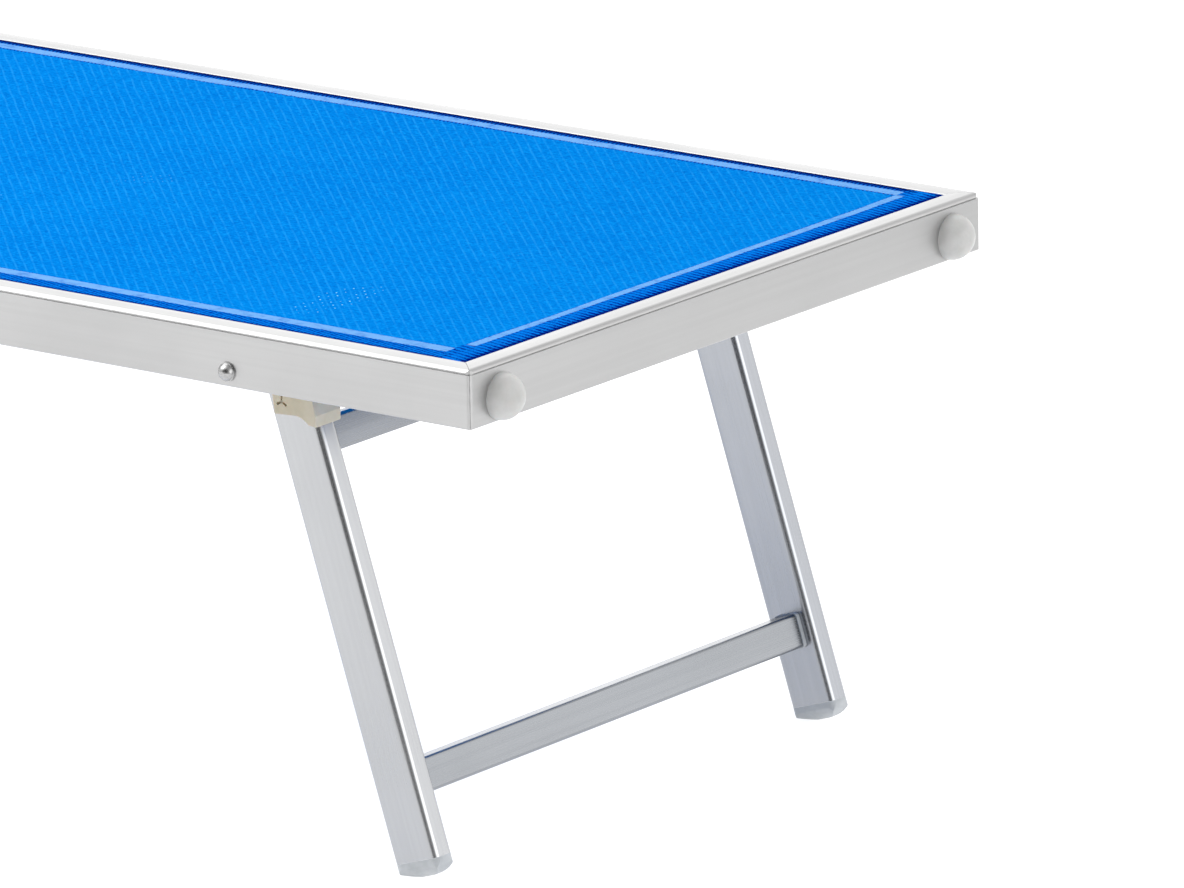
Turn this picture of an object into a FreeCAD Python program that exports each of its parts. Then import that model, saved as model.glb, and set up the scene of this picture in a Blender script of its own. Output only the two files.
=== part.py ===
import FreeCAD, Part
import math
import os
import Sketcher
from FreeCAD import Placement, Rotation, Vector

# Folding aluminium sunbed. Millimetres, +Z up, +X towards the foot end.
# Origin: on the floor, below the centre of the bed frame.
# Bodies: the bed frame, two folding leg frames, the backrest and its prop.

doc = FreeCAD.newDocument("sunbed")
sheet = doc.addObject("Spreadsheet::Sheet", "Sizes")

SIZES = [
    ("bed_length", 1870), ("bed_width", 600), ("bed_height", 395),
    # extruded rail: flat face, groove, domed bead and a channel for the fabric's edge rod
    ("rail_width", 18), ("rail_height", 43), ("rail_wall", 1.6), ("back_rail_height", 24),
    ("bead_height", 4.5), ("channel_radius", 2.6), ("channel_inset", 6), ("channel_drop", 4.1),
    ("mouth_roof", 1.8), ("mouth_floor", 4), ("mitre_gap", 0.2),
    ("corner_round", 3), ("bead_round", 6.5), ("rod_radius", 2.3),
    ("key_arm", 42), ("key_gap", 0.1),
    ("bumper_radius", 17), ("bumper_inset", 35), ("bumper_rise", 17),
    # leg frames, with lengths measured along the leg from its pivot
    ("pivot_inset_foot", 213), ("pivot_inset_head", 160), ("pivot_rise", 10.6),
    ("leg_lean", 17.8), ("leg_inset", 55.8), ("leg_depth", 39.5), ("leg_width", 20),
    ("leg_corner", 5.5), ("tube_wall", 1.5), ("leg_reach", 367.5),
    ("cap_round", 12), ("cap_side_round", 7.5), ("cap_rim", 0.5), ("plug_gap", 0.1), ("plug_length", 22),
    ("bar_depth", 20), ("bar_height", 25), ("bar_corner", 2.5), ("bar_upper", 64),
    ("bar_lower", 312),
    ("collar_length", 3), ("collar_rim", 0.8),
    # leg pivot and its hinge block
    ("pin_radius", 4), ("run_gap", 0.05), ("face_gap", 0.3),
    ("head_radius", 6.2), ("head_dome", 4.5), ("tail_radius", 6), ("tail_length", 2),
    ("washer_radius", 7), ("washer_length", 1.5),
    ("block_back", 12), ("block_top", 7.8), ("boss_drop", 9.5), ("cheek_thick", 5.5),
    ("wall_thick", 5.9), ("wall_reach", 54.3), ("wall_overhang", 2.2), ("wall_width", 24),
    ("toe_front", 37.4), ("toe_drop", 46), ("toe_top", 38),
    ("cheek_front", 20), ("slot_depth", 2), ("slot_forward", 7.5), ("slot_drop", 31.5),
    ("slot_stroke", 0.9), ("slot_branch", 5),
    # backrest, with lengths measured from its hinge
    ("hinge_from_foot", 1165), ("hinge_rise", 29), ("back_angle", 40),
    ("back_length", 672), ("back_gap", 2), ("hinge_above_base", 10),
    ("round_bar", 8), ("round_wall", 1.4), ("bar_lift", 2.2), ("back_bar_low", 25),
    ("back_bar_top", 650), ("bush_radius", 6), ("back_cap", 3),
    ("seat_bar_from_foot", 1140), ("screw_radius", 2), ("screw_head", 3), ("screw_dome", 2),
    ("tube_screw_head", 5.2), ("tube_screw_dome", 3), ("tube_screw_reach", 18),
    ("back_rod_start", 20), ("back_rod_spare", 4),
    # backrest prop and the toothed racks that it stands in
    ("prop_pivot", 235), ("prop_thick", 6), ("prop_small_end", 7), ("prop_large_end", 8.5),
    ("prop_gap", 1.5), ("prop_pin", 3), ("prop_bar", 6), ("sleeve_radius", 7.5),
    ("sleeve_length", 8.2),
    ("rack_wall_inner", 247), ("rack_wall", 6), ("rack_base", 4), ("rack_top", 21),
    ("rack_shelf", 4), ("rack_flange", 5), ("rack_flange_top", 17), ("notch_radius", 8),
    ("rack_margin", 20), ("rack_screw_rise", 11), ("rack_screw_inset", 40),
    ("rack_screw_reach", 7),
    # fabric
    ("fabric_thick", 1.6), ("fabric_gap", 0.3),
]
for row, (alias, value) in enumerate(SIZES, start=1):
    sheet.set("A%d" % row, alias)
    sheet.set("B%d" % row, str(value))
    sheet.setAlias("B%d" % row, alias)
doc.recompute()


def size(alias):
    return float(sheet.get(alias))


SPARE = 2.0  # how far a cutting outline reaches past what it cuts
# under edge of a hinge block's cheek, from its waist forward to the stop's foot
CHEEK_EDGE = [(-0.5, -28), (1.1, -41), (19, -40), (26.5, -41.8, "via"), (31, -45.2)]


X_AXIS, Y_AXIS, Z_AXIS = Vector(1, 0, 0), Vector(0, 1, 0), Vector(0, 0, 1)
HALF_LENGTH = size("bed_length") / 2
HALF_WIDTH = size("bed_width") / 2
RAIL_BASE = size("bed_height") - size("rail_height")
RAIL_INNER = HALF_WIDTH - size("rail_width")
LEG_OUTER = HALF_WIDTH - size("leg_inset")
LEG_INNER = LEG_OUTER - size("leg_width")
LEG_MIDDLE = (LEG_OUTER + LEG_INNER) / 2
PIVOT_Z = RAIL_BASE + size("pivot_rise")
LEAN = math.radians(size("leg_lean"))
HINGE = Vector(HALF_LENGTH - size("hinge_from_foot"), 0, RAIL_BASE + size("hinge_rise"))
BACK_OUTER = RAIL_INNER - size("back_gap")
BACK_INNER = BACK_OUTER - size("rail_width")
BACK_ANGLE = size("back_angle")
PROP_OUTER = BACK_INNER - size("prop_gap")
SEAT_BAR_X = HALF_LENGTH - size("seat_bar_from_foot")
SIDES = (("left", -1), ("right", 1))
# end of the bed, sign of its X direction, X of its leg pivot
ENDS = (("foot", 1, HALF_LENGTH - size("pivot_inset_foot")),
        ("head", -1, size("pivot_inset_head") - HALF_LENGTH))

subparts = []


def keep(feature, label):
    """Names a finished sub-part and lists it for writing."""
    feature.Label = label
    subparts.append(feature)
    return feature


def place(feature, position, axis=Z_AXIS, angle=0.0, inside=None):
    """Moves a feature; inside is the placement of the frame that position is given in."""
    own = Placement(position, Rotation(axis, angle))
    feature.Placement = inside.multiply(own) if inside else own
    return feature


def group(label, members):
    """One sub-part of several separate solids."""
    compound = doc.addObject("Part::Compound", label)
    compound.Links = members
    return keep(compound, label)


def new_body(name):
    return doc.addObject("PartDesign::Body", name)


def new_sketch(body, role, offset=0.0):
    """A sketch on one of the body's own origin planes, moved along the plane's normal."""
    sketch = body.newObject("Sketcher::SketchObject", body.Name + "_sketch")
    origin_plane = [f for f in body.Origin.OriginFeatures if f.Role == role]
    sketch.AttachmentSupport = [(origin_plane[0], "")]
    sketch.MapMode = "FlatFace"
    sketch.AttachmentOffset = Placement(Vector(0, 0, offset), Rotation())
    return sketch


def outline(sketch, points):
    """Closed outline. A point is (x, y), or (x, y, "via") where an arc passes through it."""
    vectors = [Vector(p[0], p[1], 0) for p in points]
    count = len(points)
    index = 0
    while index < count:
        start = vectors[index]
        following = (index + 1) % count
        if len(points[following]) == 3:
            end = vectors[(index + 2) % count]
            sketch.addGeometry(Part.Arc(start, vectors[following], end))
            index += 2
        else:
            sketch.addGeometry(Part.LineSegment(start, vectors[following]))
            index += 1


def circle(sketch, x, y, radius):
    """A circle whose radius is an expression of the sheet's sizes."""
    index = sketch.addGeometry(Part.Circle(Vector(x, y, 0), Z_AXIS, 1.0))
    constraint = sketch.addConstraint(Sketcher.Constraint("Radius", index, 1.0))
    sketch.addConstraint(Sketcher.Constraint("Block", index))
    sketch.setExpression("Constraints[%d]" % constraint, radius)


def rounded_rectangle(sketch, width, height, corner, name):
    """Centred rounded rectangle, with its three sizes bound to expressions."""
    half_w, half_h, radius = 10.0, 8.0, 2.0
    centres = [(half_w - radius, half_h - radius), (radius - half_w, half_h - radius),
               (radius - half_w, radius - half_h), (half_w - radius, radius - half_h)]
    quarter = math.pi / 2
    arcs = []
    for turn, (x, y) in enumerate(centres):
        ring = Part.Circle(Vector(x, y, 0), Z_AXIS, radius)
        arc = Part.ArcOfCircle(ring, turn * quarter, (turn + 1) * quarter)
        arcs.append((sketch.addGeometry(arc), arc.EndPoint, arc.StartPoint))
    lines = []
    for turn in range(4):
        start, end = arcs[turn][1], arcs[(turn + 1) % 4][2]
        lines.append(sketch.addGeometry(Part.LineSegment(start, end)))
    for turn in range(4):
        arc, next_arc, line = arcs[turn][0], arcs[(turn + 1) % 4][0], lines[turn]
        sketch.addConstraint(Sketcher.Constraint("Tangent", arc, 2, line, 1))
        sketch.addConstraint(Sketcher.Constraint("Tangent", line, 2, next_arc, 1))
        direction = "Horizontal" if turn % 2 == 0 else "Vertical"
        sketch.addConstraint(Sketcher.Constraint(direction, line))
        if turn:
            sketch.addConstraint(Sketcher.Constraint("Equal", arcs[0][0], arc))
    sketch.addConstraint(Sketcher.Constraint("Symmetric", arcs[0][0], 3, arcs[2][0], 3, -1, 1))
    sized = [("Width", Sketcher.Constraint("DistanceX", lines[1], 1, lines[3], 1, 2 * half_w), width),
             ("Height", Sketcher.Constraint("DistanceY", lines[2], 1, lines[0], 1, 2 * half_h), height),
             ("Corner", Sketcher.Constraint("Radius", arcs[0][0], radius), corner)]
    for word, constraint, expression in sized:
        index = sketch.addConstraint(constraint)
        sketch.renameConstraint(index, name + word)
        sketch.setExpression("Constraints." + name + word, expression)


def pad(body, sketch, length, symmetric=True, downwards=False):
    feature = body.newObject("PartDesign::Pad", body.Name + "_pad")
    feature.Profile = sketch
    feature.setExpression("Length", length)
    if symmetric:
        feature.SideType = "Symmetric"
    feature.Reversed = downwards
    return feature


def cut_through(body, sketch):
    """Pocket right through the body, both ways from its sketch."""
    feature = body.newObject("PartDesign::Pocket", body.Name + "_cut")
    feature.Profile = sketch
    feature.SideType = "Symmetric"
    feature.Type = "ThroughAll"
    return feature


def revolve(body, sketch):
    feature = body.newObject("PartDesign::Revolution", body.Name + "_turned")
    feature.Profile = sketch
    feature.ReferenceAxis = (sketch, ["V_Axis"])
    feature.Angle = 360
    return feature


# ---- extruded rails ---------------------------------------------------------

def rail_outline(height):
    """Rail section: x is inboard from the outer face, y is up from the base."""
    width = size("rail_width")
    bead = height - size("bead_height")
    channel = size("channel_radius")
    channel_x, channel_y = width - size("channel_inset"), height - size("channel_drop")
    slot_top, slot_base = height - size("mouth_roof"), height - size("mouth_floor")
    top_reach = math.sqrt(channel ** 2 - (slot_top - channel_y) ** 2)
    base_reach = math.sqrt(channel ** 2 - (slot_base - channel_y) ** 2)
    edge = 0.8
    return [(edge, 0), (0, edge), (0, bead - 0.2), (0.9, bead + 0.3), (0.2, bead + 0.9),
            (1.4, height - 1.5, "via"), (4.6, height - 0.4),
            (9.5, height, "via"), (width - 0.6, height - 1.0),
            (width, height - 1.5), (width, slot_top), (channel_x + top_reach, slot_top),
            (channel_x - channel, channel_y, "via"), (channel_x + base_reach, slot_base),
            (width, slot_base), (width, edge), (width - edge, 0)]


def rail(name, length, height, holes=()):
    """Hollow rail along X, centred on its length; holes are (x, height, radius expression)."""
    body = new_body(name)
    section = new_sketch(body, "YZ_Plane")
    outline(section, rail_outline(height))
    wall = size("rail_wall")
    inner, ceiling = size("rail_width") - wall, height - 2 * size("bead_height")
    outline(section, [(wall, wall), (wall, ceiling), (inner, ceiling), (inner, wall)])
    pad(body, section, length)
    if holes:
        drilling = new_sketch(body, "XZ_Plane")
        for x, z, radius in holes:
            circle(drilling, x, z, radius)
        cut_through(body, drilling)
    return body


def corner_waste(sketch, corner, rounding):
    """What a mitre takes off both rail ends: beyond 45 degrees, and round the outer edge."""
    width = size("rail_width")
    eighth = math.pi / 8
    arc = [(rounding * (1 - math.sin(turn)), rounding * (1 - math.cos(turn)))
           for turn in (0, eighth, 2 * eighth)]
    for sign in (1, -1):
        outline(sketch, [(sign * (corner - rounding), -SPARE),
                         (sign * (corner - arc[0][0]), arc[0][1]),
                         (sign * (corner - arc[1][0]), arc[1][1], "via"),
                         (sign * (corner - arc[2][0]), arc[2][1]),
                         (sign * (corner - width - SPARE), width + SPARE),
                         (sign * (corner + 3 * SPARE), width + SPARE),
                         (sign * (corner + 3 * SPARE), -SPARE)])


def mitre(body, length):
    """Cuts both ends of a rail at 45 degrees, short of its corner by the mitre gap, and
    rounds its outer upright edge, more so on the bead."""
    corner = length / 2 - size("mitre_gap")
    sketch = new_sketch(body, "XY_Plane")
    corner_waste(sketch, corner, size("corner_round"))
    cut_through(body, sketch)
    bead = new_sketch(body, "XY_Plane", size("rail_height") - size("bead_height"))
    corner_waste(bead, corner, size("bead_round"))
    rounding = body.newObject("PartDesign::Pocket", body.Name + "_bead_corner")
    rounding.Profile = bead
    rounding.Type = "ThroughAll"
    rounding.Reversed = True


PIN_HOLE = "Sizes.pin_radius + Sizes.run_gap"
SCREW_HOLE = "Sizes.screw_radius + Sizes.run_gap"


def bed_rails():
    side_holes = [(pivot_x, size("pivot_rise"), PIN_HOLE) for _, _, pivot_x in ENDS]
    side_holes.append((HINGE.x, size("hinge_rise"), PIN_HOLE))
    side_holes.append((SEAT_BAR_X, size("hinge_rise") + size("bar_lift"), SCREW_HOLE))
    for word, side in SIDES:
        holes = [(-side * x, z, radius) for x, z, radius in side_holes]
        body = rail("side_rail_" + word, "Sizes.bed_length", size("rail_height"), holes)
        mitre(body, size("bed_length"))
        place(body, Vector(0, side * HALF_WIDTH, RAIL_BASE), Z_AXIS, 90 * (side + 1))
        keep(body, "side_rail_" + word)
    for word, end, _ in ENDS:
        body = rail(word + "_end_rail", "Sizes.bed_width", size("rail_height"))
        mitre(body, size("bed_width"))
        place(body, Vector(end * HALF_LENGTH, 0, RAIL_BASE), Z_AXIS, 90 * end)
        keep(body, word + "_end_rail")


def corner_keys():
    """L-shaped keys that join the mitred rails from inside."""
    inner = size("rail_wall") + size("key_gap")
    outer = size("rail_width") - inner
    arm = size("key_arm")
    ceiling = size("rail_height") - 2 * size("bead_height") - size("key_gap")
    keys = []
    for index, turn in enumerate((0, 90, 180, 270)):
        body = new_body("corner_key_%d" % index)
        sketch = new_sketch(body, "XY_Plane", (inner + ceiling) / 2)
        outline(sketch, [(-inner, -inner), (-arm, -inner), (-arm, -outer), (-outer, -outer),
                         (-outer, -arm), (-inner, -arm)])
        pad(body, sketch, "Sizes.rail_height - 2*Sizes.bead_height - Sizes.rail_wall - 2*Sizes.key_gap")
        sign_x = 1 if turn in (0, 270) else -1
        sign_y = 1 if turn in (0, 90) else -1
        corner = Vector(sign_x * HALF_LENGTH, sign_y * HALF_WIDTH, RAIL_BASE)
        keys.append(place(body, corner, Z_AXIS, turn))
    group("corner_keys", keys)


def end_bumpers():
    """Half-round plastic buffers on both end rails."""
    domes = []
    for _, end, _ in ENDS:
        for _, side in SIDES:
            dome = doc.addObject("Part::Sphere", "bumper")
            dome.setExpression("Radius", "Sizes.bumper_radius")
            dome.Angle1 = 0
            spot = Vector(end * HALF_LENGTH, side * (HALF_WIDTH - size("bumper_inset")),
                          RAIL_BASE + size("bumper_rise"))
            domes.append(place(dome, spot, Y_AXIS, 90 * end))
    group("end_bumpers", domes)


# ---- pins, washers and round tubes ------------------------------------------

def headed_pin(name, length, radius="pin_radius", head="head_radius", dome="head_dome"):
    """Pin along -Z with a domed head above its origin and a flared tail."""
    body = new_body(name)
    sketch = new_sketch(body, "XZ_Plane")
    shank, cap, rise = size(radius), size(head), size(dome)
    tail, flare = size("tail_radius"), length + size("tail_length")
    under_head = [(cap, 0), (shank, 0)] if cap > shank else [(shank, 0)]
    outline(sketch, [(0, rise), (0.72 * cap, 0.66 * rise, "via")] + under_head
            + [(shank, -length), (tail, -length), (tail, -flare), (0, -flare)])
    revolve(body, sketch)
    return body


def ring(name, outer, inner, length):
    """Washer, bush or tube along Z, centred on its length; all three are expressions."""
    body = new_body(name)
    sketch = new_sketch(body, "XY_Plane")
    circle(sketch, 0, 0, outer)
    circle(sketch, 0, 0, inner)
    pad(body, sketch, length)
    return body


def across(feature, x, y, z, side, inside=None):
    """Places a turned piece on a line along Y, with its own +Z pointing out of that side."""
    return place(feature, Vector(x, y, z), X_AXIS, -90 * side, inside)


def leg_pivots():
    """Rivets through rail, hinge block and leg, with a washer under each head."""
    rivets, washers = [], []
    shank = size("washer_length") + HALF_WIDTH - LEG_INNER + size("face_gap")
    head_y = HALF_WIDTH + size("washer_length")
    washer_y = HALF_WIDTH + size("washer_length") / 2
    for _, _, pivot_x in ENDS:
        for _, side in SIDES:
            rivets.append(across(headed_pin("rivet", shank), pivot_x, side * head_y, PIVOT_Z, side))
            washer = ring("washer", "Sizes.washer_radius", PIN_HOLE, "Sizes.washer_length")
            washers.append(across(washer, pivot_x, side * washer_y, PIVOT_Z, side))
    group("leg_pivot_rivets", rivets)
    group("leg_pivot_washers", washers)


def hinge_block(end_word, end, pivot_x, side_word, side):
    """Block on the rail beside a leg. Its cheek covers the leg's top and its front wall is
    the stop that the open leg rests on; a boss fills the gap between cheek and rail."""
    name = "hinge_block_%s_%s" % (end_word, side_word)
    body = new_body(name)
    stop = size("leg_depth") / 2 + size("face_gap")
    front, reach = stop + size("wall_thick"), size("wall_reach")

    def on_leg(forward, along):
        """Point beside the open leg, from how far forward of its middle and how far down it."""
        return (end * (forward * math.cos(LEAN) + along * math.sin(LEAN)),
                forward * math.sin(LEAN) - along * math.cos(LEAN))

    toe_x, toe_z, toe_top = end * size("toe_front"), -size("toe_drop"), -size("toe_top")
    back, top, boss_z = -end * size("block_back"), size("block_top"), -size("boss_drop")
    wall_low = on_leg(stop, reach)
    wall_middle, cheek_middle, boss_middle = (
        LEG_INNER - size("wall_overhang") + size("wall_width") / 2,
        LEG_OUTER + size("face_gap") + size("cheek_thick") / 2,
        (LEG_OUTER + size("face_gap") + RAIL_INNER) / 2)
    cheek = new_sketch(body, "XZ_Plane", -side * cheek_middle)
    front_x = end * size("cheek_front")
    under_edge = [(end * point[0],) + tuple(point[1:]) for point in CHEEK_EDGE]
    outline(cheek, [(back, top), (back, boss_z)] + under_edge
            + [wall_low, (toe_x, toe_z), (toe_x, toe_top), on_leg(front, 0), (front_x, top)])
    pad(body, cheek, "Sizes.cheek_thick")
    boss = new_sketch(body, "XZ_Plane", -side * boss_middle)
    outline(boss, [(back, top), (back, boss_z), (front_x, boss_z), (front_x, top)])
    pad(body, boss, "Sizes.leg_inset - Sizes.rail_width - Sizes.face_gap")
    wall = new_sketch(body, "XZ_Plane", -side * wall_middle)
    outline(wall, [on_leg(stop, 0), wall_low, (toe_x, toe_z), (toe_x, toe_top), on_leg(front, 0)])
    pad(body, wall, "Sizes.wall_width")
    bore = new_sketch(body, "XZ_Plane")
    circle(bore, 0, 0, PIN_HOLE)
    cut_through(body, bore)
    # shallow forked slot on the cheek, below the rail
    slot = new_sketch(body, "XZ_Plane", -side * (cheek_middle + size("cheek_thick") / 2))
    centre_x, centre_z = end * size("slot_forward"), -size("slot_drop")
    stroke, branch = size("slot_stroke"), size("slot_branch")
    fork = []
    for turn in (90, 210, 330):
        angle, spread = math.radians(turn), math.radians(60)
        tip = Vector(math.cos(angle), math.sin(angle), 0)
        across_tip = Vector(-tip.y, tip.x, 0)
        notch = Vector(math.cos(angle + spread), math.sin(angle + spread), 0)
        for point in (tip * branch - across_tip * stroke, tip * branch + across_tip * stroke,
                      notch * (stroke / math.sin(spread))):
            fork.append((centre_x + point.x, centre_z + point.y))
    outline(slot, fork)
    pocket = body.newObject("PartDesign::Pocket", name + "_slot")
    pocket.Profile = slot
    pocket.SideType = "Symmetric"
    pocket.setExpression("Length", "2*Sizes.slot_depth")
    place(body, Vector(pivot_x, 0, PIVOT_Z))
    keep(body, name)


# ---- leg frames ---------------------------------------------------------------
# A leg is drawn upright with its pivot at the origin, X across its depth and Z up.

def leg_tube(name):
    body = new_body(name)
    half_depth = size("leg_depth") / 2
    section = new_sketch(body, "XY_Plane", half_depth)
    rounded_rectangle(section, "Sizes.leg_depth", "Sizes.leg_width", "Sizes.leg_corner", "Outer")
    rounded_rectangle(section, "Sizes.leg_depth - 2*Sizes.tube_wall",
                      "Sizes.leg_width - 2*Sizes.tube_wall",
                      "Sizes.leg_corner - Sizes.tube_wall", "Inner")
    pad(body, section, "Sizes.leg_reach + Sizes.leg_depth/2", symmetric=False, downwards=True)
    top = new_sketch(body, "XZ_Plane")
    spare = half_depth + SPARE
    outline(top, [(-half_depth, 0), (0, half_depth, "via"), (half_depth, 0), (spare, 0),
                  (spare, spare), (-spare, spare), (-spare, 0)])
    cut_through(body, top)
    bore = new_sketch(body, "XZ_Plane")
    circle(bore, 0, 0, PIN_HOLE)
    cut_through(body, bore)
    return body


def leg_cap(name, end):
    """Foot cap with a pillow-shaped sole, a small flat where it meets the floor, and a spigot."""
    body = new_body(name)
    reach, drop = size("leg_reach"), size("cap_round")
    sole = new_sketch(body, "XY_Plane", -reach)
    rounded_rectangle(sole, "Sizes.leg_depth", "Sizes.leg_width", "Sizes.leg_corner", "Outer")
    pad(body, sole, "Sizes.cap_round + Sizes.tube_wall", symmetric=False, downwards=True)
    spigot = new_sketch(body, "XY_Plane", -reach)
    rounded_rectangle(spigot, "Sizes.leg_depth - 2*Sizes.tube_wall - 2*Sizes.plug_gap",
                      "Sizes.leg_width - 2*Sizes.tube_wall - 2*Sizes.plug_gap",
                      "Sizes.leg_corner - Sizes.tube_wall", "Spigot")
    pad(body, spigot, "Sizes.plug_length", symmetric=False)
    level = -reach - size("cap_rim")
    low, below = level - drop, level - 2 * drop - SPARE
    slant = math.sqrt(0.5)
    for plane, half, rounding in (("XZ_Plane", size("leg_depth") / 2, drop),
                                  ("YZ_Plane", size("leg_width") / 2, size("cap_side_round"))):
        shaping = new_sketch(body, plane)
        inner, spare = half - rounding, half + SPARE
        bulge, bulge_level = inner + rounding * slant, level - drop * slant
        outline(shaping, [(-half, level), (-bulge, bulge_level, "via"), (-inner, low),
                          (inner, low), (bulge, bulge_level, "via"), (half, level),
                          (spare, level), (spare, below), (-spare, below), (-spare, level)])
        cut_through(body, shaping)
    floor = new_sketch(body, "XZ_Plane")
    spare = size("leg_depth") / 2 + SPARE

    def floor_height(x):
        return -(PIVOT_Z + end * x * math.sin(LEAN)) / math.cos(LEAN)

    outline(floor, [(-spare, floor_height(-spare)), (spare, floor_height(spare)),
                    (spare, below), (-spare, below)])
    cut_through(body, floor)
    return body


def collar(name):
    """Plastic collar and plug between a crossbar's end and the leg, along Y."""
    body = new_body(name)
    rim = new_sketch(body, "XZ_Plane")
    rounded_rectangle(rim, "Sizes.bar_depth + 2*Sizes.collar_rim", "Sizes.bar_height + 2*Sizes.collar_rim",
                      "Sizes.bar_corner + Sizes.collar_rim", "Rim")
    pad(body, rim, "Sizes.collar_length", symmetric=False, downwards=True)
    spigot = new_sketch(body, "XZ_Plane")
    rounded_rectangle(spigot, "Sizes.bar_depth - 2*Sizes.tube_wall - 2*Sizes.plug_gap",
                      "Sizes.bar_height - 2*Sizes.tube_wall - 2*Sizes.plug_gap",
                      "Sizes.bar_corner - Sizes.tube_wall", "Spigot")
    pad(body, spigot, "Sizes.plug_length", symmetric=False)
    return body


def leg_frame(end_word, end, pivot_x):
    leaning = Placement(Vector(pivot_x, 0, PIVOT_Z), Rotation(Y_AXIS, -end * size("leg_lean")))
    caps, collars = [], []
    for side_word, side in SIDES:
        tube = leg_tube("leg_tube_%s_%s" % (end_word, side_word))
        place(tube, Vector(0, side * LEG_MIDDLE, 0), inside=leaning)
        keep(tube, "leg_tube_%s_%s" % (end_word, side_word))
        cap = leg_cap("leg_cap", end)
        caps.append(place(cap, Vector(0, side * LEG_MIDDLE, 0), inside=leaning))
    group("leg_caps_" + end_word, caps)
    for word, drop in (("upper", size("bar_upper")), ("lower", size("bar_lower"))):
        name = "crossbar_%s_%s" % (word, end_word)
        body = new_body(name)
        section = new_sketch(body, "XZ_Plane")
        rounded_rectangle(section, "Sizes.bar_depth", "Sizes.bar_height", "Sizes.bar_corner", "Outer")
        rounded_rectangle(section, "Sizes.bar_depth - 2*Sizes.tube_wall",
                          "Sizes.bar_height - 2*Sizes.tube_wall",
                          "Sizes.bar_corner - Sizes.tube_wall", "Inner")
        pad(body, section, "Sizes.bed_width - 2*(Sizes.leg_inset + Sizes.leg_width + Sizes.collar_length)")
        keep(place(body, Vector(0, 0, -drop), inside=leaning), name)
        for _, side in SIDES:
            piece = collar("collar")
            seat = Vector(0, side * (LEG_INNER - size("collar_length")), -drop)
            collars.append(place(piece, seat, Z_AXIS, 90 * (1 - side), leaning))
    group("crossbar_collars_" + end_word, collars)


# ---- backrest -------------------------------------------------------------------
# The backrest is drawn flat with its hinge at the origin, reaching along -X.

def raised():
    return Placement(HINGE, Rotation(Y_AXIS, BACK_ANGLE))


def back_rail(word, side):
    height, above = size("back_rail_height"), size("hinge_above_base")
    rounding = height - above
    length = size("back_length") + rounding
    hinge_x = -side * (length / 2 - rounding)
    drilled = [(hinge_x, above, "Sizes.bush_radius"),
               (hinge_x + side * size("prop_pivot"), above, "Sizes.prop_pin + Sizes.run_gap")]
    body = rail("backrest_rail_" + word, "Sizes.back_length + Sizes.back_rail_height"
                " - Sizes.hinge_above_base", height, drilled)
    nose = new_sketch(body, "XZ_Plane")
    foot = math.sqrt(rounding ** 2 - above ** 2)
    bulge = rounding * math.sqrt(0.5)
    outline(nose, [(hinge_x, height), (hinge_x - side * bulge, above + bulge, "via"),
                   (hinge_x - side * rounding, above), (hinge_x - side * foot, 0),
                   (hinge_x - side * foot, -SPARE), (hinge_x - side * (rounding + SPARE), -SPARE),
                   (hinge_x - side * (rounding + SPARE), height + SPARE), (hinge_x, height + SPARE)])
    cut_through(body, nose)
    middle = Vector(rounding - length / 2, side * BACK_OUTER, -above)
    place(body, middle, Z_AXIS, 90 * (side + 1), raised())
    keep(body, "backrest_rail_" + word)


def cross_tube(name, length):
    return ring(name, "Sizes.round_bar", "Sizes.round_bar - Sizes.round_wall", length)


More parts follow.
